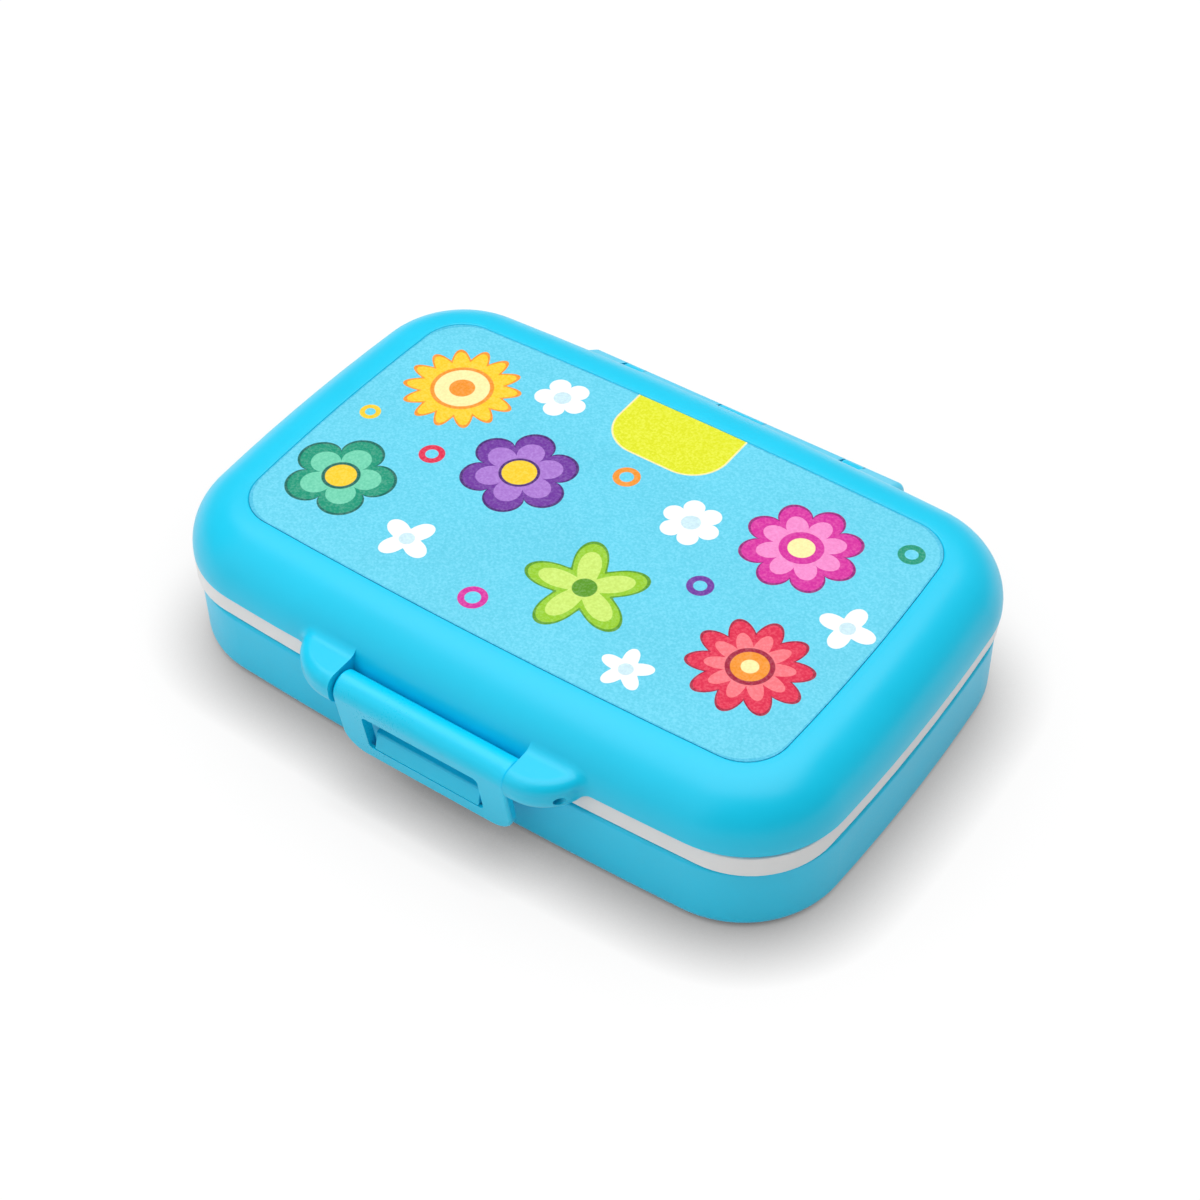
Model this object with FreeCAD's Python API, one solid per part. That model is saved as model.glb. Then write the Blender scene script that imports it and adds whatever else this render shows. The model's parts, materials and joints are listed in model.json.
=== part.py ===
import FreeCAD, Part
import math
import os

from FreeCAD import Vector

# Baby tooth box: a moulded base, a lift-out tray with a divider grid, and a hinged lid that is held
# shut by a windowed latch flap. Millimetres. The origin is at the middle of the underside, +X runs
# along the latch side, the latch is at the front (-Y), the hinge at the back (+Y), and +Z is up.

# Outline of the box seen from above, measured at the middle of its bowed sides. The band between
# base and lid has the sharpest corners, the lid the roundest.
BOX_LENGTH = 122.3
BOX_WIDTH = 80.0
SIDE_BOW = 2.0
BASE_CORNER_RADIUS = 18.0
BAND_CORNER_RADIUS = 15.5
LID_CORNER_RADIUS = 17.5

# Heights of the three layers that show from the side
BASE_HEIGHT = 12.8
BAND_GAP = 0.2
BAND_HEIGHT = 4.1
LID_SEAT_GAP = 0.2
LID_HEIGHT = 9.8

# Base shell
BASE_WALL = 1.8
BASE_FLOOR = 1.8
BASE_FOOT_ROUND = 1.8
BASE_TOP_ROUND = 0.6

# Inner tray: its rim is the band that shows between base and lid
BAND_INSET = 0.25
BESIDE_BAND_GAP = 0.35
BAND_EDGE_ROUND = 0.3
TRAY_WALL = 1.2
TRAY_FLOOR = 1.2
TRAY_SIDE_GAP = 0.3

# Divider grid that stands in the tray
CELL_COLUMNS = 5
CELL_ROWS = 4
DIVIDER_THICKNESS = 1.0
DIVIDER_END_GAP = 0.2
DIVIDER_SLOT_GAP = 0.1
DIVIDER_TOP_GAP = 0.2

# Soft ring on the tray's rim
SEAL_WIDTH = 1.4
SEAL_HEIGHT = 2.4
SEAL_SEAT_DEPTH = 1.1
SEAL_LID_GAP = 0.15
SEAL_SEAT_GAP = 0.05
SEAL_ROUND = 0.5

# Lid shell
LID_OVERHANG = 0.45
LID_WALL = 1.8
LID_ROOF = 2.0
LID_LIP_ROUND = 0.5
LID_SIDE_FLAT = 0.1

# Label film in its recess on top of the lid, with a flat land around it before the lid's edge rounds off
LABEL_END_LAND = 1.3
LABEL_SIDE_LAND = 1.1
LABEL_BOW = 1.1
LABEL_CORNER_RADIUS = 7.5
LABEL_THICKNESS = 0.3
LABEL_RECESS = 0.4
LABEL_EDGE_GAP = 0.05
LABEL_RIM_STEP = 0.05

# Wire pins of the latch and the hinge
PIN_RADIUS = 0.75
PIN_FIT = 0.05
PIN_END_RECESS = 1.5

# Back hinge
HINGE_AXIS_OUT = 3.75
HINGE_AXIS_BELOW_LID = 2.45
KNUCKLE_RADIUS = 2.9
KNUCKLE_GAP = 0.25
BASE_MID_KNUCKLE = 8.8
LID_INNER_KNUCKLE = 15.6
BASE_OUTER_KNUCKLE = 3.7
LID_OUTER_KNUCKLE = 7.4
KNUCKLE_NOSE_ROUND = 1.2
BASE_WEB_TOP_DROP = 0.6
BASE_WEB_HEIGHT = 4.8
LID_WEB_HEIGHT = 4.2
WEB_ROOT_DEPTH = 1.5

# Latch lugs on the lid
LATCH_AXIS_OUT = 3.45
LATCH_AXIS_ABOVE_LIP = 0.65
LUG_RADIUS = 3.2
LUG_FRONT_LENGTH = 1.3
LUG_NOSE_RADIUS = 9.0
LUG_TOP_ROUND = 2.0
LUG_UNDER_ROUND = 3.4
LUG_CREASE_ROUND = 2.2

# Latch flap
FLAP_WIDTH = 32.8
FLAP_SIDE_GAP = 0.3
FLAP_BARREL_RADIUS = 2.7
FLAP_LENGTH = 13.0
FLAP_THICKNESS = 1.7
FLAP_LEAN = 8.7
FLAP_CORNER_RADIUS = 4.3
FLAP_EDGE_ROUND = 0.5
WINDOW_WIDTH = 22.3
WINDOW_START = 1.7
WINDOW_CORNER_RADIUS = 0.9
BAR_HEIGHT = 3.15
BAR_THICKNESS = 0.55

# Catch on the base, behind the window
CATCH_LENGTH = 20.4
CATCH_LOW = 6.0
CATCH_HIGH = 11.0
CATCH_ROOT_HIGH = 12.0
CATCH_SWING_GAP = 0.15
CATCH_EDGE_ROUND = 0.5

# Places worked out from the sizes above
BAND_BOTTOM = BASE_HEIGHT + BAND_GAP
BAND_TOP = BAND_BOTTOM + BAND_HEIGHT
LID_BOTTOM = BAND_TOP + LID_SEAT_GAP
LID_TOP = LID_BOTTOM + LID_HEIGHT
FRONT = -BOX_WIDTH / 2
BACK = BOX_WIDTH / 2
PAN_INSET = BASE_WALL + TRAY_SIDE_GAP
POCKET_INSET = PAN_INSET + TRAY_WALL
POCKET_FLOOR = BASE_FLOOR + TRAY_FLOOR
LID_INNER_INSET = LID_WALL - LID_OVERHANG
LID_ROUND = LID_HEIGHT - LID_LIP_ROUND - LID_SIDE_FLAT
LID_FLAT_INSET = LID_ROUND - LID_OVERHANG
LABEL_RIM_ROUND = LABEL_RECESS - LABEL_RIM_STEP
SEAL_SEAT_INSET = LID_INNER_INSET + SEAL_LID_GAP
SEAL_SEAT_FLOOR = BAND_TOP - SEAL_SEAT_DEPTH
HINGE_AXIS = Vector(0, BACK + HINGE_AXIS_OUT, LID_BOTTOM - HINGE_AXIS_BELOW_LID)
LATCH_AXIS = Vector(0, FRONT - LATCH_AXIS_OUT, LID_BOTTOM + LATCH_AXIS_ABOVE_LIP)
LUG_INNER = FLAP_WIDTH / 2 + FLAP_SIDE_GAP
LUG_NOSE_START = LUG_INNER + LUG_FRONT_LENGTH
LUG_ROOT = FRONT + WEB_ROOT_DEPTH
LUG_DEPTH = LUG_ROOT - LATCH_AXIS.y + LUG_RADIUS
LUG_PIN_EXIT = LUG_NOSE_START + math.sqrt(LUG_NOSE_RADIUS**2 - (LUG_NOSE_RADIUS - LUG_RADIUS) ** 2)
BORE_RADIUS = PIN_RADIUS + PIN_FIT
ALONG_X = Vector(1, 0, 0)
UP = Vector(0, 0, 1)

# Slack for picking edges by their place
PICK_SLACK = 0.001


def arc(centre, radius, start, end):
    """Arc about a centre, anticlockwise between two angles."""
    points = []
    for angle in (start, (start + end) / 2, end):
        points.append(centre + Vector(math.cos(angle), math.sin(angle), 0) * radius)
    return Part.Arc(*points).toShape()


def corner_centre(long_centre, long_reach, short_centre, short_reach):
    """Centre of the corner circle, at given distances from the centres of the two bowed sides."""
    between = short_centre - long_centre
    apart = between.Length
    along = (long_reach**2 - short_reach**2 + apart**2) / (2 * apart)
    aside = math.sqrt(long_reach**2 - along**2)
    direction = between / apart
    return long_centre + direction * along + direction.cross(UP) * aside


def bowed_outline(length, width, bow, radius, inset):
    """Closed wire of a rectangle with bowed sides and rounded corners, taken in by the inset."""
    long_radius = ((length / 2 - bow) ** 2 + bow**2) / (2 * bow)
    short_radius = ((width / 2 - bow) ** 2 + bow**2) / (2 * bow)
    top = Vector(0, width / 2 - long_radius, 0)
    right = Vector(length / 2 - short_radius, 0, 0)
    corner = corner_centre(top, long_radius - radius, right, short_radius - radius)
    steep = math.atan2(corner.y - top.y, corner.x - top.x)
    flat = math.atan2(corner.y - right.y, corner.x - right.x)
    half_turn = math.pi
    turns = [
        (Vector(corner.x, corner.y, 0), radius, flat, steep),
        (top, long_radius, steep, half_turn - steep),
        (Vector(-corner.x, corner.y, 0), radius, half_turn - steep, half_turn - flat),
        (-right, short_radius, half_turn - flat, half_turn + flat),
        (Vector(-corner.x, -corner.y, 0), radius, half_turn + flat, half_turn + steep),
        (-top, long_radius, half_turn + steep, 2 * half_turn - steep),
        (Vector(corner.x, -corner.y, 0), radius, 2 * half_turn - steep, 2 * half_turn - flat),
        (right, short_radius, -flat, flat),
    ]
    return Part.Wire([arc(centre, size - inset, start, end) for centre, size, start, end in turns])


BASE = (BOX_LENGTH, BOX_WIDTH, SIDE_BOW, BASE_CORNER_RADIUS)
BAND = (BOX_LENGTH, BOX_WIDTH, SIDE_BOW, BAND_CORNER_RADIUS)
LID = (BOX_LENGTH, BOX_WIDTH, SIDE_BOW, LID_CORNER_RADIUS)
LABEL = (
    BOX_LENGTH - 2 * (LID_FLAT_INSET + LABEL_END_LAND),
    BOX_WIDTH - 2 * (LID_FLAT_INSET + LABEL_SIDE_LAND),
    LABEL_BOW,
    LABEL_CORNER_RADIUS,
)


def prism(outline, inset, low, high):
    """Upright solid between two heights, its outline taken in by the inset."""
    wire = bowed_outline(*outline, inset)
    wire.translate(Vector(0, 0, low))
    return Part.Face(wire).extrude(Vector(0, 0, high - low))


def edges_at(shape, height):
    """Edges that lie level at one height."""
    level = []
    for edge in shape.Edges:
        box = edge.BoundBox
        if abs(box.ZMin - height) < PICK_SLACK and abs(box.ZMax - height) < PICK_SLACK:
            level.append(edge)
    return level


def along_x(points, start, end):
    """Solid made by drawing a closed outline of (y, z) points from one x to another."""
    corners = [Vector(start, y, z) for y, z in points]
    return Part.Face(Part.makePolygon(corners + corners[:1])).extrude(Vector(end - start, 0, 0))


def rod(axis, radius, start, end):
    """Round bar along X about an axis point, from one x to another."""
    return Part.makeCylinder(radius, end - start, Vector(start, axis.y, axis.z), ALONG_X)


def mirrored(shape):
    """The same shape on the other side of the box's middle."""
    return shape.mirror(Vector(0, 0, 0), ALONG_X)


def tangent_point(axis, radius, point, side):
    """Where a line from a (y, z) point touches a circle about the axis, on the given side."""
    away = math.hypot(point[0] - axis.y, point[1] - axis.z)
    heading = math.atan2(point[1] - axis.z, point[0] - axis.y)
    turn = heading + side * math.acos(radius / away)
    return (axis.y + radius * math.cos(turn), axis.z + radius * math.sin(turn))


def knuckle(start, end, root_low, root_high):
    """Hinge barrel with a web that narrows from its root in the wall to the barrel."""
    root = BACK - WEB_ROOT_DEPTH
    web = along_x(
        [
            (root, root_low),
            (root, root_high),
            tangent_point(HINGE_AXIS, KNUCKLE_RADIUS, (root, root_high), -1),
            (HINGE_AXIS.y, HINGE_AXIS.z),
            tangent_point(HINGE_AXIS, KNUCKLE_RADIUS, (root, root_low), 1),
        ],
        start,
        end,
    )
    return web.fuse(rod(HINGE_AXIS, KNUCKLE_RADIUS, start, end)).removeSplitter()


def knuckle_spans():
    """Start and end of each knuckle on the +X side: lid inner, base outer, lid outer."""
    lid_inner = BASE_MID_KNUCKLE / 2 + KNUCKLE_GAP
    base_outer = lid_inner + LID_INNER_KNUCKLE + KNUCKLE_GAP
    lid_outer = base_outer + BASE_OUTER_KNUCKLE + KNUCKLE_GAP
    return [
        (lid_inner, lid_inner + LID_INNER_KNUCKLE),
        (base_outer, base_outer + BASE_OUTER_KNUCKLE),
        (lid_outer, lid_outer + LID_OUTER_KNUCKLE),
    ]


def flap_offset(down, out):
    """A (y, z) offset from the flap's axis: so far down its length, so far out from the axis."""
    lean = math.radians(FLAP_LEAN)
    y = down * math.sin(lean) - out * math.cos(lean)
    z = -down * math.cos(lean) - out * math.sin(lean)
    return (y, z)


def flap_point(down, out):
    """The (y, z) place of such an offset on the closed box."""
    y, z = flap_offset(down, out)
    return (LATCH_AXIS.y + y, LATCH_AXIS.z + z)


def catch_face(height):
    """Front of the catch at a height: just behind the path of the flap's bar as the lid swings up."""
    y, z = flap_point(FLAP_LENGTH, FLAP_BARREL_RADIUS - BAR_THICKNESS)
    swing = math.hypot(HINGE_AXIS.y - y, HINGE_AXIS.z - z)
    reach = math.sqrt(swing**2 - (HINGE_AXIS.z - height) ** 2)
    return HINGE_AXIS.y - reach + CATCH_SWING_GAP


def make_catch():
    """Wedge on the front wall: a face along the bar's path, a ledge under it and a ramp above it."""
    root = FRONT + BASE_WALL / 2
    wedge = along_x(
        [
            (root, CATCH_LOW),
            (catch_face(CATCH_LOW), CATCH_LOW),
            (catch_face(CATCH_HIGH), CATCH_HIGH),
            (root, CATCH_ROOT_HIGH),
        ],
        -CATCH_LENGTH / 2,
        CATCH_LENGTH / 2,
    )
    furthest_in = catch_face(CATCH_LOW) + PICK_SLACK
    front = [edge for edge in wedge.Edges if edge.BoundBox.YMax < furthest_in]
    return wedge.makeFillet(CATCH_EDGE_ROUND, front)


def make_base():
    """Bottom shell with its catch and its three hinge knuckles."""
    block = prism(BASE, 0, 0, BASE_HEIGHT)
    block = block.makeFillet(BASE_FOOT_ROUND, edges_at(block, 0))
    block = block.makeFillet(BASE_TOP_ROUND, edges_at(block, BASE_HEIGHT))
    root_high = BASE_HEIGHT - BASE_WEB_TOP_DROP
    root_low = root_high - BASE_WEB_HEIGHT
    middle = knuckle(-BASE_MID_KNUCKLE / 2, BASE_MID_KNUCKLE / 2, root_low, root_high)
    start, end = knuckle_spans()[1]
    outer = knuckle(start, end, root_low, root_high)
    above = prism(BAND, -BESIDE_BAND_GAP, BASE_HEIGHT, LID_TOP)
    knuckles = [piece.cut(above) for piece in (middle, outer, mirrored(outer))]
    body = block.fuse([make_catch()] + knuckles)
    body = body.cut(prism(BASE, BASE_WALL, BASE_FLOOR, BAND_TOP))
    return body.cut(rod(HINGE_AXIS, BORE_RADIUS, -BOX_LENGTH / 2, BOX_LENGTH / 2)).removeSplitter()


def make_tray():
    """White tray that stands in the base, its rim over the wall, with a step that seats the seal."""
    rim = prism(BAND, BAND_INSET, BAND_BOTTOM, BAND_TOP)
    rim = rim.makeFillet(BAND_EDGE_ROUND, edges_at(rim, BAND_BOTTOM) + edges_at(rim, BAND_TOP))
    pan = prism(BASE, PAN_INSET, BASE_FLOOR, BAND_BOTTOM + BAND_HEIGHT / 2)
    tray = rim.fuse(pan)
    tray = tray.cut(prism(BASE, POCKET_INSET, POCKET_FLOOR, LID_TOP))
    return tray.cut(prism(LID, SEAL_SEAT_INSET, SEAL_SEAT_FLOOR, LID_TOP)).removeSplitter()


def make_seal():
    """Soft ring on the tray's step, standing up inside the lid's wall."""
    outer_inset = SEAL_SEAT_INSET + SEAL_SEAT_GAP
    high = SEAL_SEAT_FLOOR + SEAL_HEIGHT
    ring = prism(LID, outer_inset, SEAL_SEAT_FLOOR, high)
    ring = ring.cut(prism(LID, outer_inset + SEAL_WIDTH, SEAL_SEAT_FLOOR, high))
    return ring.makeFillet(SEAL_ROUND, edges_at(ring, high))


def divider_places(span, count):
    """Middles of the strips that split a span into so many equal cells."""
    return [span * (index / count - 0.5) for index in range(1, count)]


def divider_room():
    """The space in the tray that the divider grid may fill."""
    top = SEAL_SEAT_FLOOR - DIVIDER_TOP_GAP
    return prism(BASE, POCKET_INSET + DIVIDER_END_GAP, POCKET_FLOOR, top)


def make_dividers():
    """Long and cross strips, notched half-way so that they slot into each other."""
    room = divider_room()
    pocket_length = BOX_LENGTH - 2 * POCKET_INSET
    pocket_width = BOX_WIDTH - 2 * POCKET_INSET
    columns = divider_places(pocket_length, CELL_COLUMNS)
    rows = divider_places(pocket_width, CELL_ROWS)
    low = POCKET_FLOOR
    high = SEAL_SEAT_FLOOR - DIVIDER_TOP_GAP
    middle = (low + high) / 2
    half = DIVIDER_THICKNESS / 2
    notch = half + DIVIDER_SLOT_GAP
    strips = {}
    for number, y in enumerate(rows, 1):
        strip = Part.makeBox(BOX_LENGTH, 2 * half, high - low, Vector(-BOX_LENGTH / 2, y - half, low))
        strip = strip.common(room)
        for x in columns:
            corner = Vector(x - notch, y - notch, middle - DIVIDER_SLOT_GAP)
            strip = strip.cut(Part.makeBox(2 * notch, 2 * notch, high - low, corner))
        strips["long_divider_%d" % number] = strip
    for number, x in enumerate(columns, 1):
        strip = Part.makeBox(2 * half, BOX_WIDTH, high - low, Vector(x - half, -BOX_WIDTH / 2, low))
        strip = strip.common(room)
        for y in rows:
            corner = Vector(x - notch, y - notch, middle + DIVIDER_SLOT_GAP - (high - low))
            strip = strip.cut(Part.makeBox(2 * notch, 2 * notch, high - low, corner))
        strips["cross_divider_%d" % number] = strip
    return strips


def make_lug():
    """Right-hand latch lug: its front runs along X and its outer end turns back into the lid."""
    low = LATCH_AXIS.z - LUG_RADIUS
    high = LATCH_AXIS.z + LUG_RADIUS
    front = LATCH_AXIS.y - LUG_RADIUS
    back = LUG_ROOT + LUG_DEPTH
    nose_end = LUG_NOSE_START + LUG_NOSE_RADIUS
    nose = arc(Vector(LUG_NOSE_START, front + LUG_NOSE_RADIUS, low), LUG_NOSE_RADIUS, -math.pi / 2, 0)
    rest = Part.makePolygon(
        [
            Vector(nose_end, front + LUG_NOSE_RADIUS, low),
            Vector(nose_end, back, low),
            Vector(LUG_INNER, back, low),
            Vector(LUG_INNER, front, low),
            Vector(LUG_NOSE_START, front, low),
        ]
    )
    lug = Part.Face(Part.Wire([nose] + rest.Edges)).extrude(Vector(0, 0, high - low))
    for height, size in ((high, LUG_TOP_ROUND), (low, LUG_UNDER_ROUND)):
        rim = []
        for edge in edges_at(lug, height):
            if edge.BoundBox.XMax > LUG_NOSE_START - PICK_SLACK and edge.BoundBox.YMin < back - PICK_SLACK:
                rim.append(edge)
        lug = lug.makeFillet(size, rim)
    return lug


def lug_creases(body):
    """Edges where the noses of the lugs meet the lid's side."""
    creases = []
    for edge in body.Edges:
        box = edge.BoundBox
        near = min(abs(box.XMin), abs(box.XMax))
        far = max(abs(box.XMin), abs(box.XMax))
        on_nose = near > LUG_NOSE_START + LUG_NOSE_RADIUS / 2 and far < LUG_NOSE_START + LUG_NOSE_RADIUS
        on_lid = box.ZMin > LID_BOTTOM - PICK_SLACK and box.ZMax > LID_BOTTOM + PICK_SLACK
        if on_nose and on_lid and box.YMax < 0:
            creases.append(edge)
    return creases


def lid_knuckle(start, end):
    """Hinge knuckle of the lid."""
    return knuckle(start, end, LID_BOTTOM, LID_BOTTOM + LID_WEB_HEIGHT)


def lid_end_knuckle(start, end):
    """Outermost knuckle of the lid, its free end rounded off."""
    piece = lid_knuckle(start, end)
    rim = []
    for edge in piece.Edges:
        box = edge.BoundBox
        if box.XMin > end - PICK_SLACK and box.YMax > BACK:
            rim.append(edge)
    return piece.makeFillet(KNUCKLE_NOSE_ROUND, rim)


def with_label_recess(block):
    """The lid's block with the label's recess sunk into it, the recess's rim rounded."""
    block = block.cut(prism(LABEL, -LABEL_EDGE_GAP, LID_TOP - LABEL_RECESS, LID_TOP + LABEL_RECESS))
    outline = bowed_outline(*LABEL, -LABEL_EDGE_GAP)
    outline.translate(Vector(0, 0, LID_TOP))
    rim = [edge for edge in edges_at(block, LID_TOP) if edge.distToShape(outline)[0] < PICK_SLACK]
    return block.makeFillet(LABEL_RIM_ROUND, rim)


def make_lid():
    """Lid shell: quarter-round edge, label recess, latch lugs and hinge knuckles."""
    block = prism(LID, -LID_OVERHANG, LID_BOTTOM, LID_TOP)
    block = block.makeFillet(LID_ROUND, edges_at(block, LID_TOP))
    block = block.makeFillet(LID_LIP_ROUND, edges_at(block, LID_BOTTOM))
    block = with_label_recess(block)
    inner, _, outer = knuckle_spans()
    beside_band = prism(BAND, -BESIDE_BAND_GAP, 0, LID_BOTTOM)
    pieces = [make_lug(), lid_knuckle(*inner), lid_end_knuckle(*outer)]
    pieces = [piece.cut(beside_band) for piece in pieces]
    body = block.fuse(pieces + [mirrored(piece) for piece in pieces]).removeSplitter()
    body = body.makeFillet(LUG_CREASE_ROUND, lug_creases(body))
    hollow = prism(LID, LID_INNER_INSET, BAND_BOTTOM, LID_TOP - LID_ROOF)
    hollow = hollow.makeFillet(LID_ROUND - LID_WALL, edges_at(hollow, LID_TOP - LID_ROOF))
    body = body.cut(hollow)
    body = body.cut(rod(HINGE_AXIS, BORE_RADIUS, -BOX_LENGTH / 2, BOX_LENGTH / 2))
    return body.cut(rod(LATCH_AXIS, BORE_RADIUS, -BOX_LENGTH / 2, BOX_LENGTH / 2)).removeSplitter()


def make_label():
    """Printed film that lies in the lid's recess."""
    low = LID_TOP - LABEL_RECESS
    return prism(LABEL, 0, low, low + LABEL_THICKNESS)


def flap_block(width, down_start, down_end, out_start, out_end):
    """Box in the flap's own leaning directions, with the flap's axis at the origin."""
    corners = [
        flap_offset(down_start, out_start),
        flap_offset(down_end, out_start),
        flap_offset(down_end, out_end),
        flap_offset(down_start, out_end),
    ]
    return along_x(corners, -width / 2, width / 2)


def across_flap(edge, tolerance=0.02):
    """Whether an edge runs through the flap's thickness."""
    lean = math.radians(FLAP_LEAN)
    direction = edge.tangentAt(edge.FirstParameter)
    return abs(abs(direction.dot(Vector(0, math.cos(lean), math.sin(lean)))) - 1) < tolerance


def make_flap():
    """Latch flap: a barrel on the pin and a leaning plate with a window over a thin bar.

    It is made about its own axis and then moved onto the pin.
    """
    axis = Vector(0, 0, 0)
    inside = FLAP_BARREL_RADIUS - FLAP_THICKNESS
    plate = flap_block(FLAP_WIDTH, 0, FLAP_LENGTH, inside, FLAP_BARREL_RADIUS)
    corners = []
    low = flap_offset(FLAP_LENGTH, FLAP_BARREL_RADIUS)[1]
    for edge in plate.Edges:
        if across_flap(edge) and edge.BoundBox.ZMin < low + FLAP_THICKNESS:
            corners.append(edge)
    plate = plate.makeFillet(FLAP_CORNER_RADIUS, corners)
    window_end = FLAP_LENGTH - BAR_HEIGHT
    window = flap_block(WINDOW_WIDTH, WINDOW_START, window_end, -FLAP_BARREL_RADIUS, 2 * FLAP_BARREL_RADIUS)
    window = window.makeFillet(WINDOW_CORNER_RADIUS, [edge for edge in window.Edges if across_flap(edge)])
    behind_bar = flap_block(
        WINDOW_WIDTH,
        window_end - WINDOW_CORNER_RADIUS,
        FLAP_LENGTH + FLAP_EDGE_ROUND,
        -FLAP_BARREL_RADIUS,
        FLAP_BARREL_RADIUS - BAR_THICKNESS,
    )
    barrel = rod(axis, FLAP_BARREL_RADIUS, -FLAP_WIDTH / 2, FLAP_WIDTH / 2)
    flap = plate.fuse(barrel).removeSplitter()
    outline = []
    for edge in flap.Edges:
        if not across_flap(edge) and edge.BoundBox.XLength < FLAP_WIDTH - FLAP_EDGE_ROUND:
            outline.append(edge)
    flap = flap.makeFillet(FLAP_EDGE_ROUND, outline)
    flap = flap.cut(window.fuse(behind_bar).removeSplitter())
    flap = flap.cut(rod(axis, BORE_RADIUS, -FLAP_WIDTH, FLAP_WIDTH)).removeSplitter()
    flap.translate(LATCH_AXIS)
    return flap


def make_latch_pin():
    """Wire pin through both lugs and the flap, its ends sunk in the lugs."""
    half = LUG_PIN_EXIT - PIN_END_RECESS
    return rod(LATCH_AXIS, PIN_RADIUS, -half, half)


def make_hinge_pin():
    """Wire pin through all the hinge knuckles, its ends sunk in the outermost ones."""
    half = knuckle_spans()[2][1] - PIN_END_RECESS
    return rod(HINGE_AXIS, PIN_RADIUS, -half, half)


def main():
    os.makedirs("parts", exist_ok=True)
    pieces = {
        "base_shell": make_base(),
        "inner_tray": make_tray(),
        "seal_ring": make_seal(),
        "lid_shell": make_lid(),
        "lid_label": make_label(),
        "latch_flap": make_flap(),
        "latch_pin": make_latch_pin(),
        "hinge_pin": make_hinge_pin(),
    }
    pieces.update(make_dividers())
    for name, shape in pieces.items():
        print(name, len(shape.Solids), "solid, valid", shape.isValid(), "volume %.1f" % shape.Volume)
        shape.exportStep("parts/%s.step" % name)


main()
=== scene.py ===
import json
import math

import bmesh
import bpy
from mathutils import Matrix, Vector


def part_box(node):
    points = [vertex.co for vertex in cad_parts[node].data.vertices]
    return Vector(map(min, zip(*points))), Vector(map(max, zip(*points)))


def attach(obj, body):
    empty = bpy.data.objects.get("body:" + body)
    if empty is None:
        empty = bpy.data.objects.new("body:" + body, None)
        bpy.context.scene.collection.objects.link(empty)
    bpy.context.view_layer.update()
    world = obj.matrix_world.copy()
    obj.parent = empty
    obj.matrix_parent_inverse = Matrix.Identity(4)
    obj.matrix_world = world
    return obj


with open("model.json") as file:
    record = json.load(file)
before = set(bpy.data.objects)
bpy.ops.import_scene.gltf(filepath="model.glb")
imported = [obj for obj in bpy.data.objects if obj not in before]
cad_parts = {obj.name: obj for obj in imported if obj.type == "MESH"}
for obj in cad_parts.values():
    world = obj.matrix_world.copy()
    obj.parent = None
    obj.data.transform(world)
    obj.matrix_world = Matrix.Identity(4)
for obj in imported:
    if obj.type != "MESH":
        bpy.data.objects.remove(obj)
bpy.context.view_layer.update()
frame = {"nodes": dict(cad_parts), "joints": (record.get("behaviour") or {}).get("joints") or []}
nodes = frame["nodes"]


# Base shell: the lower half of the box, one injection moulding in sky-blue polypropylene.
# Floor, walls, catch and hinge barrels leave the mould together, and the outside keeps the
# satin of a finely blasted mould.
def place(tree, kind, **settings):
    """Add a shader node to a tree and set its own properties."""
    made = tree.nodes.new("ShaderNode" + kind)
    for name, value in settings.items():
        setattr(made, name, value)
    return made


def feed(tree, target, source):
    """Join a socket to another one, or set it to a plain value."""
    if isinstance(source, bpy.types.NodeSocket):
        tree.links.new(source, target)
    else:
        target.default_value = source


def reckon(tree, operation, *values):
    """One Math node on sockets or numbers; gives its result."""
    made = place(tree, "Math", operation=operation)
    for slot, value in zip(made.inputs, values):
        feed(tree, slot, value)
    return made.outputs[0]


def ramp(tree, value, low, high, to_low, to_high):
    """Stretch a value from one span to another, held at the ends; gives the result."""
    made = place(tree, "MapRange")
    spans = (("From Min", low), ("From Max", high), ("To Min", to_low), ("To Max", to_high))
    feed(tree, made.inputs["Value"], value)
    for name, source in spans:
        feed(tree, made.inputs[name], source)
    return made.outputs["Result"]


def colour_mix(tree, blend, factor, under, over):
    """Mix two colours; gives the result."""
    made = place(tree, "Mix", data_type="RGBA", blend_type=blend)
    colours = [slot for slot in made.inputs if slot.type == "RGBA"]
    feed(tree, made.inputs[0], factor)
    feed(tree, colours[0], under)
    feed(tree, colours[1], over)
    return [slot for slot in made.outputs if slot.type == "RGBA"][0]


def group_with(name, inputs, outputs):
    """New shader node group with named sockets; gives the group, its input and its output node."""
    group = bpy.data.node_groups.new(name, "ShaderNodeTree")
    for label, kind in inputs:
        group.interface.new_socket(label, in_out="INPUT", socket_type="NodeSocket" + kind)
    for label, kind in outputs:
        group.interface.new_socket(label, in_out="OUTPUT", socket_type="NodeSocket" + kind)
    return group, group.nodes.new("NodeGroupInput"), group.nodes.new("NodeGroupOutput")


# The skin of a moulded plastic: soft flow clouds a few centimetres wide and a fine grain.
CLOUDS_PER_METRE, CLOUD_DETAIL, CLOUD_SWIRL = 45.0, 3.0, 0.6
GRAIN_DETAIL = 2.0
NOISE_SPAN = (0.3, 0.7)
POLISHED_BY_FLOW = (-0.04, 0.05)
DULLED_BY_GRAIN = (-0.03, 0.03)
moulded_skin, skin_in, skin_out = group_with(
    "moulded_skin",
    [("Colour", "Color"), ("Clouding", "Float"), ("Roughness", "Float"), ("Grain size", "Float")],
    [("Colour", "Color"), ("Roughness", "Float"), ("Grain", "Float")],
)
skin_place = place(moulded_skin, "TexCoord").outputs["Object"]
flow = place(moulded_skin, "TexNoise")
feed(moulded_skin, flow.inputs["Vector"], skin_place)
flow.inputs["Scale"].default_value = CLOUDS_PER_METRE
flow.inputs["Detail"].default_value = CLOUD_DETAIL
flow.inputs["Distortion"].default_value = CLOUD_SWIRL
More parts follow.
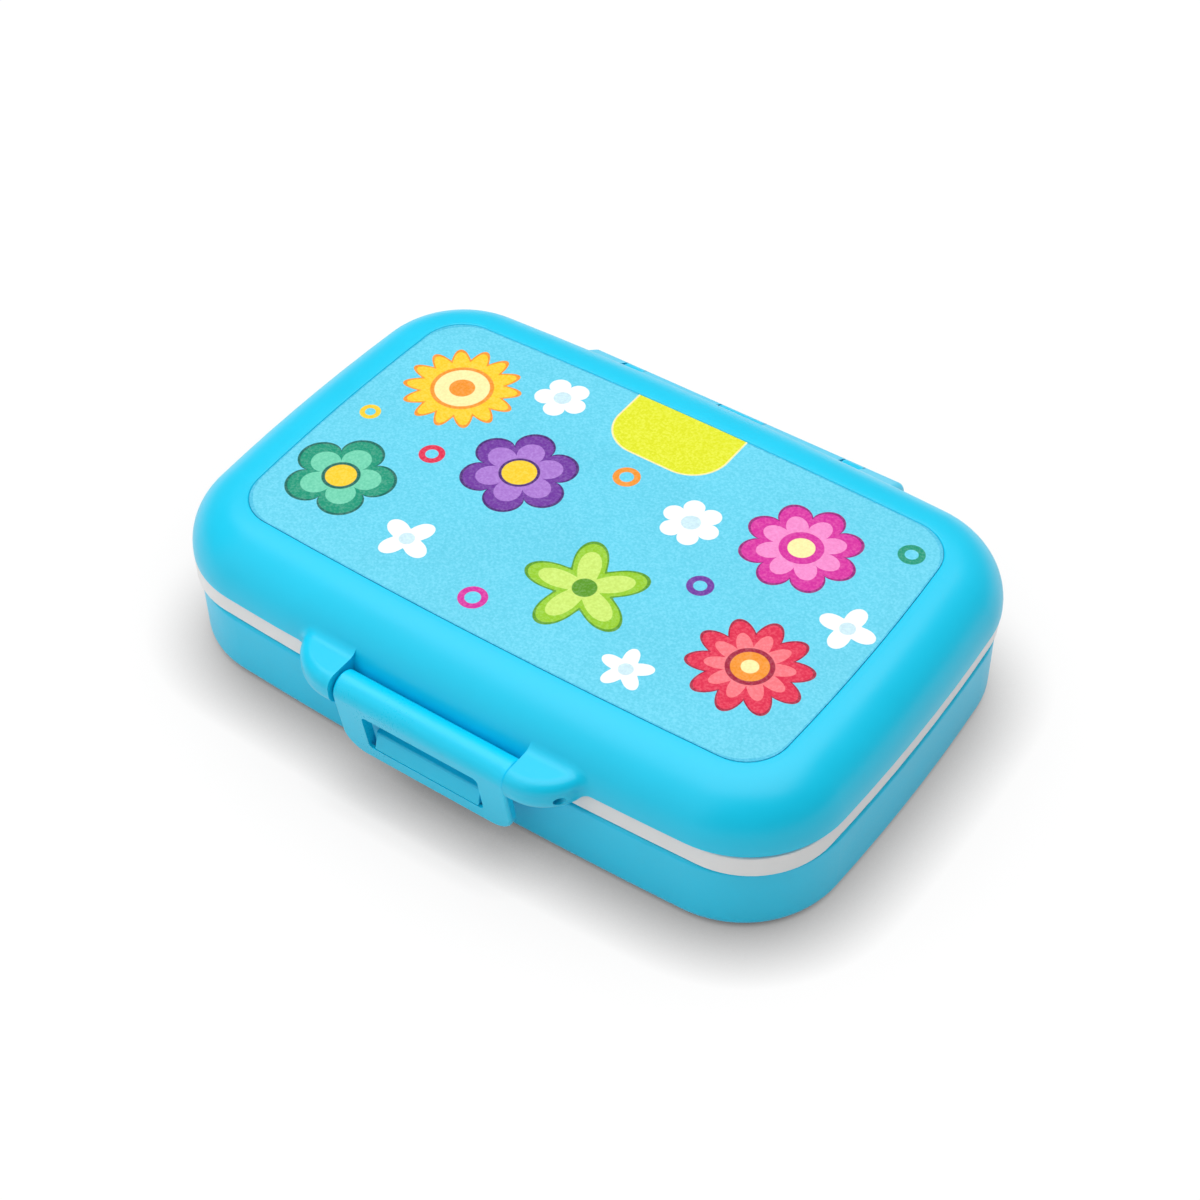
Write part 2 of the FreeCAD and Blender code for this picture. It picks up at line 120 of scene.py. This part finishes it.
least = reckon(moulded_skin, "SUBTRACT", 1.0, skin_in.outputs["Clouding"])
shade = ramp(moulded_skin, flow.outputs["Fac"], *NOISE_SPAN, least, 1.0)
clouded = colour_mix(moulded_skin, "MULTIPLY", 1.0, skin_in.outputs["Colour"], shade)
feed(moulded_skin, skin_out.inputs["Colour"], clouded)
blasted = place(moulded_skin, "TexNoise")
feed(moulded_skin, blasted.inputs["Vector"], skin_place)
blasted.inputs["Detail"].default_value = GRAIN_DETAIL
grains_per_metre = reckon(moulded_skin, "DIVIDE", 1.0, skin_in.outputs["Grain size"])
feed(moulded_skin, blasted.inputs["Scale"], grains_per_metre)
feed(moulded_skin, skin_out.inputs["Grain"], blasted.outputs["Fac"])
polish = ramp(moulded_skin, flow.outputs["Fac"], *NOISE_SPAN, *POLISHED_BY_FLOW)
dull = ramp(moulded_skin, blasted.outputs["Fac"], *NOISE_SPAN, *DULLED_BY_GRAIN)
uneven = reckon(moulded_skin, "ADD", polish, dull)
satin = reckon(moulded_skin, "ADD", uneven, skin_in.outputs["Roughness"])
feed(moulded_skin, skin_out.inputs["Roughness"], satin)

PLASTIC_IOR = 1.49
PLASTIC_GLOSS = 0.42
GRAIN_DEPTH = 0.00003


def moulded(name, colour, roughness, clouding=0.05, grain_size=0.0003, relief=0.2, gloss=PLASTIC_GLOSS):
    """Material of a moulded piece; its skin is the node called skin."""
    material = bpy.data.materials.new(name)
    material.use_nodes = True
    tree = material.node_tree
    shader = tree.nodes["Principled BSDF"]
    skin = place(tree, "Group", node_tree=moulded_skin, name="skin")
    skin.inputs["Colour"].default_value = colour
    skin.inputs["Clouding"].default_value = clouding
    skin.inputs["Roughness"].default_value = roughness
    skin.inputs["Grain size"].default_value = grain_size
    feed(tree, shader.inputs["Base Color"], skin.outputs["Colour"])
    feed(tree, shader.inputs["Roughness"], skin.outputs["Roughness"])
    bump = place(tree, "Bump")
    bump.inputs["Strength"].default_value = relief
    bump.inputs["Distance"].default_value = GRAIN_DEPTH
    feed(tree, bump.inputs["Height"], skin.outputs["Grain"])
    feed(tree, shader.inputs["Normal"], bump.outputs["Normal"])
    shader.inputs["IOR"].default_value = PLASTIC_IOR
    shader.inputs["Specular IOR Level"].default_value = gloss
    return material


def dress(node, material):
    """Give a node its one material."""
    slots = nodes[node].data.materials
    slots.clear()
    slots.append(material)


# Painted light: the base's blue is a little lighter than the lid's, though both are the same plastic,
# standing in for the paler light on its walls.
BASE_BLUE_WITH_PAINTED_LIGHT = (0.0012, 0.63, 0.92, 1.0)
base_plastic = moulded("base_sky_blue", BASE_BLUE_WITH_PAINTED_LIGHT, 0.36, gloss=0.5)
dress("base_shell", base_plastic)


# Catch nose: the sloping lip that the base's catch ends in, of the same blue plastic. It fills
# the lower part of the flap's window, and the flap's bar springs over it and snaps in below.
LATCH_LEAN = math.radians(8.7)
NOSE_LENGTH = 0.0202
NOSE_TOP_Y, NOSE_TOP_Z = -0.04392, 0.01065
NOSE_ROOT = 0.0006
NOSE_FOOT, NOSE_FRONT, NOSE_REAR = 0.00975, 0.00266, 0.0012
NOSE_EDGE, NOSE_EDGE_STEPS = 0.00016, 3
latch_axis = [Vector(joint["pos_m"]) for joint in frame["joints"] if joint["name"] == "latch_hinge"][0]


def beside_flap(down, out):
    """Point of the nose's section, given along the closed flap and out from it, as y and z."""
    y = latch_axis.y + down * math.sin(LATCH_LEAN) - out * math.cos(LATCH_LEAN)
    z = latch_axis.z - down * math.cos(LATCH_LEAN) - out * math.sin(LATCH_LEAN)
    return y, z


nose_section = [
    (NOSE_TOP_Y, NOSE_TOP_Z),
    beside_flap(NOSE_FOOT, NOSE_FRONT),
    beside_flap(NOSE_FOOT, NOSE_REAR),
    (NOSE_TOP_Y + NOSE_ROOT, NOSE_TOP_Z),
]
shape = bmesh.new()
section = shape.faces.new([shape.verts.new((-NOSE_LENGTH / 2, y, z)) for y, z in nose_section])
drawn = bmesh.ops.extrude_face_region(shape, geom=[section])["geom"]
far_end = [part for part in drawn if isinstance(part, bmesh.types.BMVert)]
bmesh.ops.translate(shape, verts=far_end, vec=(NOSE_LENGTH, 0.0, 0.0))
bmesh.ops.recalc_face_normals(shape, faces=shape.faces)
bmesh.ops.bevel(
    shape,
    geom=shape.edges[:],
    offset=NOSE_EDGE,
    affect="EDGES",
    segments=NOSE_EDGE_STEPS,
    profile=0.5,
    material=-1,
)
bmesh.ops.recalc_face_normals(shape, faces=shape.faces)
nose_mesh = bpy.data.meshes.new("catch_nose")
shape.to_mesh(nose_mesh)
shape.free()
nose_mesh.materials.append(base_plastic)
catch_nose = bpy.data.objects.new("catch_nose", nose_mesh)
bpy.context.scene.collection.objects.link(catch_nose)
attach(catch_nose, "base")


# Inner tray: a white moulding that stands in the base. Its rim is the pale band between base
# and lid, and a step along the rim seats the seal.
TRAY_WHITE = (0.86, 0.855, 0.85, 1.0)
dress("inner_tray", moulded("tray_white", TRAY_WHITE, 0.34, clouding=0.03))


# Dividers: seven strips die-cut from thin white sheet, half-slotted and pushed into each other,
# so that they stand as a grid on the floor of the tray.
DIVIDER_WHITE = (0.84, 0.84, 0.83, 1.0)
LONG_DIVIDERS, CROSS_DIVIDERS = 3, 4
divider_sheet = moulded("divider_sheet", DIVIDER_WHITE, 0.30, clouding=0.02, grain_size=0.0005, relief=0.1)
for number in range(1, LONG_DIVIDERS + 1):
    dress("long_divider_%d" % number, divider_sheet)
for number in range(1, CROSS_DIVIDERS + 1):
    dress("cross_divider_%d" % number, divider_sheet)


# Seal: a ring of soft milky silicone that lies on the tray's step and stands up inside the lid.
# It is moulded in one piece and lets a little light in.
SILICONE = (0.70, 0.71, 0.71, 1.0)
MILKINESS, MILKY_DEPTH, MILKY_TINT = 0.25, 0.002, (1.0, 0.9, 0.8)
silicone = moulded("seal_silicone", SILICONE, 0.50, clouding=0.06, grain_size=0.0006, relief=0.15)
silicone_shader = silicone.node_tree.nodes["Principled BSDF"]
silicone_shader.inputs["Subsurface Weight"].default_value = MILKINESS
silicone_shader.inputs["Subsurface Radius"].default_value = MILKY_TINT
silicone_shader.inputs["Subsurface Scale"].default_value = MILKY_DEPTH
dress("seal_ring", silicone)


# Lid shell: the upper moulding, in the same sky blue. The lugs of the latch and four hinge
# barrels belong to it, and a shallow recess on top takes the printed film.
LID_BLUE = (0.0012, 0.62, 0.90, 1.0)
dress("lid_shell", moulded("lid_sky_blue", LID_BLUE, 0.34, clouding=0.04))


# Printed film: a thin satin label in the lid's recess, with flowers, stars, suns and rings in
# flat inks on pale blue, and a plain yellow tab at the hinge side.
def ink(red, green, blue):
    """Colour of a printing ink, given as it looks on paper in steps of 255."""
    steps = (red / 255, green / 255, blue / 255)
    return tuple(v / 12.92 if v <= 0.04045 else ((v + 0.055) / 1.055) ** 2.4 for v in steps) + (1.0,)


# How far a point lies inside a petalled outline, and how far it is from the outline's middle.
petalled, petal_in, petal_out = group_with(
    "petalled_outline",
    [("Place", "Vector"), ("Middle", "Vector"), ("Size", "Float"), ("Petals", "Float")]
    + [("Depth", "Float"), ("Sharpness", "Float"), ("Turn", "Float")],
    [("Inside", "Float"), ("Reach", "Float")],
)
offset = place(petalled, "VectorMath", operation="SUBTRACT")
feed(petalled, offset.inputs[0], petal_in.outputs["Place"])
feed(petalled, offset.inputs[1], petal_in.outputs["Middle"])
apart = place(petalled, "SeparateXYZ")
feed(petalled, apart.inputs[0], offset.outputs[0])
x_squared = reckon(petalled, "POWER", apart.outputs["X"], 2.0)
y_squared = reckon(petalled, "POWER", apart.outputs["Y"], 2.0)
reach = reckon(petalled, "SQRT", reckon(petalled, "ADD", x_squared, y_squared))
angle = reckon(petalled, "ARCTAN2", apart.outputs["Y"], apart.outputs["X"])
turned = reckon(petalled, "ADD", angle, petal_in.outputs["Turn"])
beat = reckon(petalled, "MULTIPLY", turned, reckon(petalled, "DIVIDE", petal_in.outputs["Petals"], 2.0))
lobe = reckon(petalled, "ABSOLUTE", reckon(petalled, "COSINE", beat))
lobe = reckon(petalled, "POWER", lobe, petal_in.outputs["Sharpness"])
notch = reckon(petalled, "MULTIPLY", reckon(petalled, "SUBTRACT", 1.0, lobe), petal_in.outputs["Depth"])
outline = reckon(petalled, "MULTIPLY", reckon(petalled, "SUBTRACT", 1.0, notch), petal_in.outputs["Size"])
feed(petalled, petal_out.inputs["Inside"], reckon(petalled, "SUBTRACT", outline, reach))
feed(petalled, petal_out.inputs["Reach"], reach)

# One flat ink, or the painted shade along the film's edge, laid over the colours so far, wherever a value
# is above a margin.
INK_EDGE = 0.00006
ink_layer, layer_in, layer_out = group_with(
    "ink_layer",
    [("Under", "Color"), ("Ink", "Color"), ("Inside", "Float"), ("Margin", "Float")],
    [("Colour", "Color")],
)
above = reckon(ink_layer, "SUBTRACT", layer_in.outputs["Inside"], layer_in.outputs["Margin"])
covered = ramp(ink_layer, above, -INK_EDGE, INK_EDGE, 0.0, 1.0)
laid = colour_mix(ink_layer, "MIX", covered, layer_in.outputs["Under"], layer_in.outputs["Ink"])
feed(ink_layer, layer_out.inputs["Colour"], laid)

PALE_BLUE = ink(102, 213, 240)
film = moulded("printed_film", PALE_BLUE, 0.42, grain_size=0.0004, relief=0.25, gloss=0.18)
film_tree = film.node_tree
film_skin = film_tree.nodes["skin"]
film_place = place(film_tree, "TexCoord").outputs["Object"]
print_and_painted_light = film_skin.outputs["Colour"]


def lay(under, colour, inside, margin):
    """Lay one ink, or the painted edge shade, on the film over the colours so far; gives the new colours.
    """
    layer = place(film_tree, "Group", node_tree=ink_layer)
    for name, source in (("Under", under), ("Ink", colour), ("Inside", inside), ("Margin", margin)):
        feed(film_tree, layer.inputs[name], source)
    return layer.outputs["Colour"]


# Painted shade: a thin darker teal line along the film's cut edge, which bows a little on all four sides;
# it stands in for the shade of the recess the film lies in.
EDGE_SHADE_TEAL = ink(74, 194, 227)
EDGE_SHADE_WIDTH = 0.00024
FILM_BOW, FILM_CORNER = 0.0011, 0.0075
film_low, film_high = [Vector(corner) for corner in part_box("lid_label")]
film_half = (film_high - film_low) / 2
across_film = place(film_tree, "SeparateXYZ")
feed(film_tree, across_film.inputs[0], film_place)


def distance(first, second):
    """Length of two steps at right angles to each other."""
    first_squared = reckon(film_tree, "POWER", first, 2.0)
    second_squared = reckon(film_tree, "POWER", second, 2.0)
    return reckon(film_tree, "SQRT", reckon(film_tree, "ADD", first_squared, second_squared))


def past_corner_start(side, half, along, half_along):
    """How far a point is past the start of the rounded corners, towards one pair of bowed sides."""
    half_chord = half_along - FILM_BOW
    sweep = (half_chord**2 + FILM_BOW**2) / (2 * FILM_BOW)
    side = reckon(film_tree, "ADD", reckon(film_tree, "ABSOLUTE", side), sweep - half)
    inside = reckon(film_tree, "SUBTRACT", sweep, distance(along, side))
    return reckon(film_tree, "MAXIMUM", reckon(film_tree, "SUBTRACT", FILM_CORNER, inside), 0.0)


film_x, film_y = across_film.outputs["X"], across_film.outputs["Y"]
past_x = past_corner_start(film_x, film_half.x, film_y, film_half.y)
past_y = past_corner_start(film_y, film_half.y, film_x, film_half.x)
to_edge = reckon(film_tree, "SUBTRACT", FILM_CORNER, distance(past_x, past_y))
in_edge_shade = reckon(film_tree, "SUBTRACT", EDGE_SHADE_WIDTH, to_edge)
# Painted shade of the recess, laid along the film's edge like an ink.
print_and_painted_light = lay(print_and_painted_light, EDGE_SHADE_TEAL, in_edge_shade, 0.0)

# The tab: a round-cornered yellow rectangle with a pale rim that runs off the film's back edge.
TAB_YELLOW, TAB_CREAM = ink(227, 233, 32), ink(255, 240, 170)
TAB_MIDDLE = Vector((-0.0006, 0.0285, 0.0))
TAB_HALF = Vector((0.0105, 0.0110, 1.0))
TAB_CORNER = 0.0065
TAB_RIM = 0.0003
from_middle = place(film_tree, "VectorMath", operation="SUBTRACT")
feed(film_tree, from_middle.inputs[0], film_place)
from_middle.inputs[1].default_value = TAB_MIDDLE
folded = place(film_tree, "VectorMath", operation="ABSOLUTE")
feed(film_tree, folded.inputs[0], from_middle.outputs[0])
past_core = place(film_tree, "VectorMath", operation="SUBTRACT")
feed(film_tree, past_core.inputs[0], folded.outputs[0])
past_core.inputs[1].default_value = TAB_HALF - Vector((TAB_CORNER, TAB_CORNER, 0.0))
kept = place(film_tree, "VectorMath", operation="MAXIMUM")
feed(film_tree, kept.inputs[0], past_core.outputs[0])
length = place(film_tree, "VectorMath", operation="LENGTH")
feed(film_tree, length.inputs[0], kept.outputs[0])
in_tab = reckon(film_tree, "SUBTRACT", TAB_CORNER, length.outputs["Value"])
print_and_painted_light = lay(print_and_painted_light, TAB_CREAM, in_tab, -TAB_RIM)
print_and_painted_light = lay(print_and_painted_light, TAB_YELLOW, in_tab, 0.0)

YELLOW, ORANGE, CREAM = ink(250, 208, 40), ink(247, 150, 40), ink(255, 240, 170)
MAGENTA, PLUM, PINK = ink(216, 42, 160), ink(150, 24, 120), ink(246, 140, 205)
PURPLE, VIOLET, LILAC = ink(112, 52, 160), ink(72, 30, 115), ink(170, 120, 210)
TEAL, PINE, MINT = ink(18, 152, 120), ink(8, 105, 92), ink(110, 210, 175)
RED, CRIMSON, ROSE = ink(226, 40, 78), ink(165, 20, 60), ink(250, 120, 130)
LIME, LEAF, PEAR = ink(150, 205, 40), ink(90, 155, 30), ink(205, 235, 110)
WHITE, MIST = ink(252, 252, 252), ink(205, 235, 245)

# Outlines of the motifs: number of petals, depth of the notches between them, and sharpness.
SUN = (14, 0.26, 1.2)
VIOLA, COSMOS, DAHLIA, PRIMROSE = (6, 0.34, 0.6), (8, 0.28, 0.7), (10, 0.30, 1.0), (5, 0.36, 0.6)
STARFLOWER = (5, 0.52, 1.5)
CLOVER, TWINKLE, SNOWDROP, SPARK = (5, 0.42, 0.6), (4, 0.55, 1.4), (6, 0.38, 0.6), (5, 0.50, 1.5)
DISC = (1, 0.0, 1.0)

# Motifs: middle and size in mm, outline, turn, inks by their margin and rings by their radius, in mm.
MOTIFS = [
    (
        ((-37.0, 14.5), 10.2, SUN, 0.0),
        [(0, ORANGE), (0.7, YELLOW)],
        [(5.4, ORANGE), (4.7, CREAM), (2.2, ORANGE)],
    ),
    (
        ((-16.5, 3.0), 9.8, VIOLA, 0.3),
        [(0, VIOLET), (0.5, PURPLE), (2.6, LILAC)],
        [(3.4, VIOLET), (2.9, YELLOW)],
    ),
    (
        ((30.5, 14.0), 10.0, COSMOS, 0.1),
        [(0, PLUM), (0.5, MAGENTA), (2.8, PINK)],
        [(3.6, MAGENTA), (2.2, CREAM)],
    ),
    (
        ((7.5, -12.5), 10.4, STARFLOWER, 0.5),
        [(0, LEAF), (0.6, LIME), (2.4, PEAR)],
        [(2.0, LEAF)],
    ),
    (
        ((-40.0, -14.0), 9.4, PRIMROSE, 0.9),
        [(0, PINE), (0.5, TEAL), (2.6, MINT)],
        [(3.2, PINE), (2.6, YELLOW)],
    ),
    (
        ((37.5, -12.0), 10.0, DAHLIA, 0.2),
        [(0, CRIMSON), (0.5, RED), (3.0, ROSE)],
        [(3.8, CRIMSON), (3.0, ORANGE), (1.4, CREAM)],
    ),
    (((-21.5, 22.0), 4.8, CLOVER, 0.2), [(0, WHITE)], [(1.5, MIST)]),
    (((-22.0, -19.5), 5.0, TWINKLE, 0.4), [(0, WHITE)], [(1.3, MIST)]),
    (((13.0, 9.0), 5.2, SNOWDROP, 0.1), [(0, WHITE)], [(1.6, MIST)]),
    (((22.5, -23.0), 4.4, SPARK, 0.7), [(0, WHITE)], [(1.2, MIST)]),
    (((45.5, 3.0), 4.8, TWINKLE, 0.0), [(0, WHITE)], [(1.3, MIST)]),
    (((-1.5, 12.0), 2.3, DISC, 0.0), [(0, ORANGE)], [(1.2, PALE_BLUE)]),
    (((-5.5, -24.0), 2.4, DISC, 0.0), [(0, MAGENTA)], [(1.3, PALE_BLUE)]),
    (((22.0, -2.0), 2.2, DISC, 0.0), [(0, PURPLE)], [(1.1, PALE_BLUE)]),
    (((-31.0, -1.5), 2.2, DISC, 0.0), [(0, RED)], [(1.1, PALE_BLUE)]),
    (((-46.0, 1.0), 1.8, DISC, 0.0), [(0, YELLOW)], [(0.9, PALE_BLUE)]),
    (((45.5, 22.5), 2.2, DISC, 0.0), [(0, TEAL)], [(1.1, PALE_BLUE)]),
]
MILLIMETRE = 0.001
for ((middle_x, middle_y), size, (petals, depth, sharpness), turn), inks, rings in MOTIFS:
    motif = place(film_tree, "Group", node_tree=petalled)
    feed(film_tree, motif.inputs["Place"], film_place)
    motif.inputs["Middle"].default_value = (middle_x * MILLIMETRE, middle_y * MILLIMETRE, 0.0)
    motif.inputs["Size"].default_value = size * MILLIMETRE
    motif.inputs["Petals"].default_value = petals
    motif.inputs["Depth"].default_value = depth
    motif.inputs["Sharpness"].default_value = sharpness
    motif.inputs["Turn"].default_value = turn
    for margin, colour in inks:
        print_and_painted_light = lay(print_and_painted_light, colour, motif.outputs["Inside"], margin * MILLIMETRE)
    inward = reckon(film_tree, "MULTIPLY", motif.outputs["Reach"], -1.0)
    for radius, colour in rings:
        print_and_painted_light = lay(print_and_painted_light, colour, inward, -radius * MILLIMETRE)

# The dots of the printing screen show as a faint grain in every ink. Pale specks, mixed towards white,
# are painted glints for the sparkle of the film's embossing.
SCREEN_SHADES = (0.91, 1.04)
PAINTED_GLINT_SPAN, PAINTED_GLINT_MIX = (0.42, 0.7), (0.0, 0.06)
screen = ramp(film_tree, film_skin.outputs["Grain"], *NOISE_SPAN, *SCREEN_SHADES)
print_and_painted_light = colour_mix(film_tree, "MULTIPLY", 1.0, print_and_painted_light, screen)
painted_glint = ramp(film_tree, film_skin.outputs["Grain"], *PAINTED_GLINT_SPAN, *PAINTED_GLINT_MIX)
print_and_painted_light = colour_mix(film_tree, "MIX", painted_glint, print_and_painted_light, WHITE)
feed(film_tree, film_tree.nodes["Principled BSDF"].inputs["Base Color"], print_and_painted_light)
dress("lid_label", film)


# Latch flap: a small blue moulding that turns on its pin between the lugs. Its window leaves a
# thin springy bar below, which snaps under the catch on the base.
# Painted light: the flap's blue is lighter than the lid's, though both are the same plastic, to make up for
# the light the flap gets less of.
FLAP_BLUE_WITH_PAINTED_LIGHT = (0.0012, 0.66, 0.95, 1.0)
dress("latch_flap", moulded("flap_sky_blue", FLAP_BLUE_WITH_PAINTED_LIGHT, 0.32, clouding=0.04))


# Pins: two lengths of drawn steel wire, pushed through the hinge barrels and the latch lugs.
# The drawing die leaves fine lines along the wire.
WIRE_STEEL = (0.56, 0.57, 0.58, 1.0)
DIE_LINES_PER_METRE = (60.0, 9000.0, 9000.0)
WIRE_ROUGHNESS = (0.2, 0.38)
wire = moulded("drawn_wire", WIRE_STEEL, 0.26, clouding=0.08, grain_size=0.0002, relief=0.1)
wire_tree = wire.node_tree
wire_shader = wire_tree.nodes["Principled BSDF"]
wire_shader.inputs["Metallic"].default_value = 1.0
stretched = place(wire_tree, "Mapping")
stretched.inputs["Scale"].default_value = DIE_LINES_PER_METRE
feed(wire_tree, stretched.inputs["Vector"], place(wire_tree, "TexCoord").outputs["Object"])
die_lines = place(wire_tree, "TexNoise")
die_lines.inputs["Scale"].default_value = 1.0
feed(wire_tree, die_lines.inputs["Vector"], stretched.outputs["Vector"])
drawn_finish = ramp(wire_tree, die_lines.outputs["Fac"], *NOISE_SPAN, *WIRE_ROUGHNESS)
feed(wire_tree, wire_shader.inputs["Roughness"], drawn_finish)
dress("latch_pin", wire)
dress("hinge_pin", wire)


# Studio: a white paper floor, a wide soft lamp overhead, a weak one to the front left and an
# evenly grey room, a little brighter behind. The paper keeps a grey shadow close to the box.
FLOOR_REACH = 40.0
PAPER, LOOKED_AT_PAPER = (0.88, 0.88, 0.88, 1.0), (0.03, 0.03, 0.03, 1.0)
CONTACT_REACH, WIDE_REACH = 0.0115, 0.045
CONTACT_DEPTH, WIDE_DEPTH = 0.80, 0.22
CONTACT_LEAN = (-0.388, 0.542, 0.743)
SHADOW_SAMPLES = 16
bpy.ops.mesh.primitive_circle_add(vertices=3, radius=FLOOR_REACH, fill_type="NGON")
floor = bpy.context.object
floor.name = "floor"
paper = bpy.data.materials.new("floor_paper")
paper.use_nodes = True
paper_tree = paper.node_tree
paper_shader = paper_tree.nodes["Principled BSDF"]
paper_shader.inputs["Roughness"].default_value = 0.9
paper_shader.inputs["Specular IOR Level"].default_value = 0.0
ray = place(paper_tree, "LightPath")
looked_at = reckon(paper_tree, "MAXIMUM", ray.outputs["Is Camera Ray"], ray.outputs["Is Glossy Ray"])
looked_at = reckon(paper_tree, "MAXIMUM", looked_at, ray.outputs["Is Transmission Ray"])
paper_colour = colour_mix(paper_tree, "MIX", looked_at, PAPER, LOOKED_AT_PAPER)
feed(paper_tree, paper_shader.inputs["Base Color"], paper_colour)

# The shadow leans towards the front, so that it is deepest at the latch side.
leaning = place(paper_tree, "CombineXYZ")
for slot, part in zip(leaning.inputs, CONTACT_LEAN):
    slot.default_value = part
contact = place(paper_tree, "AmbientOcclusion", samples=SHADOW_SAMPLES)
contact.inputs["Distance"].default_value = CONTACT_REACH
feed(paper_tree, contact.inputs["Normal"], leaning.outputs[0])
wide = place(paper_tree, "AmbientOcclusion", samples=SHADOW_SAMPLES)
wide.inputs["Distance"].default_value = WIDE_REACH
contact_light = reckon(paper_tree, "POWER", contact.outputs["AO"], CONTACT_DEPTH)
wide_light = reckon(paper_tree, "POWER", wide.outputs["AO"], WIDE_DEPTH)
open_sky = reckon(paper_tree, "MULTIPLY", contact_light, wide_light)
glow = place(paper_tree, "Emission")
feed(paper_tree, glow.inputs["Strength"], reckon(paper_tree, "MULTIPLY", looked_at, open_sky))
lit_paper = place(paper_tree, "AddShader")
feed(paper_tree, lit_paper.inputs[0], paper_shader.outputs[0])
feed(paper_tree, lit_paper.inputs[1], glow.outputs[0])
feed(paper_tree, paper_tree.nodes["Material Output"].inputs["Surface"], lit_paper.outputs[0])
floor.data.materials.append(paper)

ROOM_FRONT = (0.58, -0.81, 0.0)
ROOM_TURN = (-0.6, 0.35)
ROOM_LEVELS = (0.37, 0.21)
world = bpy.data.worlds.new("studio_room")
bpy.context.scene.world = world
world.use_nodes = True
room_tree = world.node_tree
room = room_tree.nodes["Background"]
room.inputs["Color"].default_value = (1.0, 1.0, 1.0, 1.0)
facing = place(room_tree, "VectorMath", operation="DOT_PRODUCT")
feed(room_tree, facing.inputs[0], place(room_tree, "TexCoord").outputs["Generated"])
facing.inputs[1].default_value = ROOM_FRONT
feed(room_tree, room.inputs["Strength"], ramp(room_tree, facing.outputs["Value"], *ROOM_TURN, *ROOM_LEVELS))


def soft_box(name, stand, side, watts):
    """Square area lamp aimed at the middle of the underside."""
    lamp = bpy.data.lights.new(name, "AREA")
    lamp.size = side
    lamp.energy = watts
    holder = bpy.data.objects.new(name, lamp)
    bpy.context.scene.collection.objects.link(holder)
    holder.location = stand
    holder.rotation_euler = (-Vector(stand)).to_track_quat("-Z", "Y").to_euler()


soft_box("overhead", stand=(-0.074, 0.105, 0.877), side=1.10, watts=8.6)
soft_box("front_left", stand=(-0.35, -0.68, 0.48), side=0.90, watts=1.9)


# Camera: stands to the front right and looks down on the latch side.
# Its place and lens were fitted to the outlines of lid, band, base and film.
AZIMUTH = math.radians(35.62)
ELEVATION = math.radians(45.57)
ROLL = math.radians(-0.76)
DISTANCE = 0.4018
TARGET = Vector((-0.00442, 0.00819, 0.0))
lens = bpy.data.cameras.new("photo_camera")
lens.lens = 70.92
lens.sensor_width = 36.0
lens.clip_start = 0.01
camera = bpy.data.objects.new("photo_camera", lens)
bpy.context.scene.collection.objects.link(camera)
aim = Matrix.Rotation(AZIMUTH, 4, "Z") @ Matrix.Rotation(math.pi / 2 - ELEVATION, 4, "X")
aim = aim @ Matrix.Rotation(ROLL, 4, "Z")
camera.matrix_world = Matrix.Translation(TARGET + aim.to_3x3() @ Vector((0.0, 0.0, DISTANCE))) @ aim
bpy.context.scene.camera = camera
bpy.context.scene.view_settings.view_transform = "Standard"
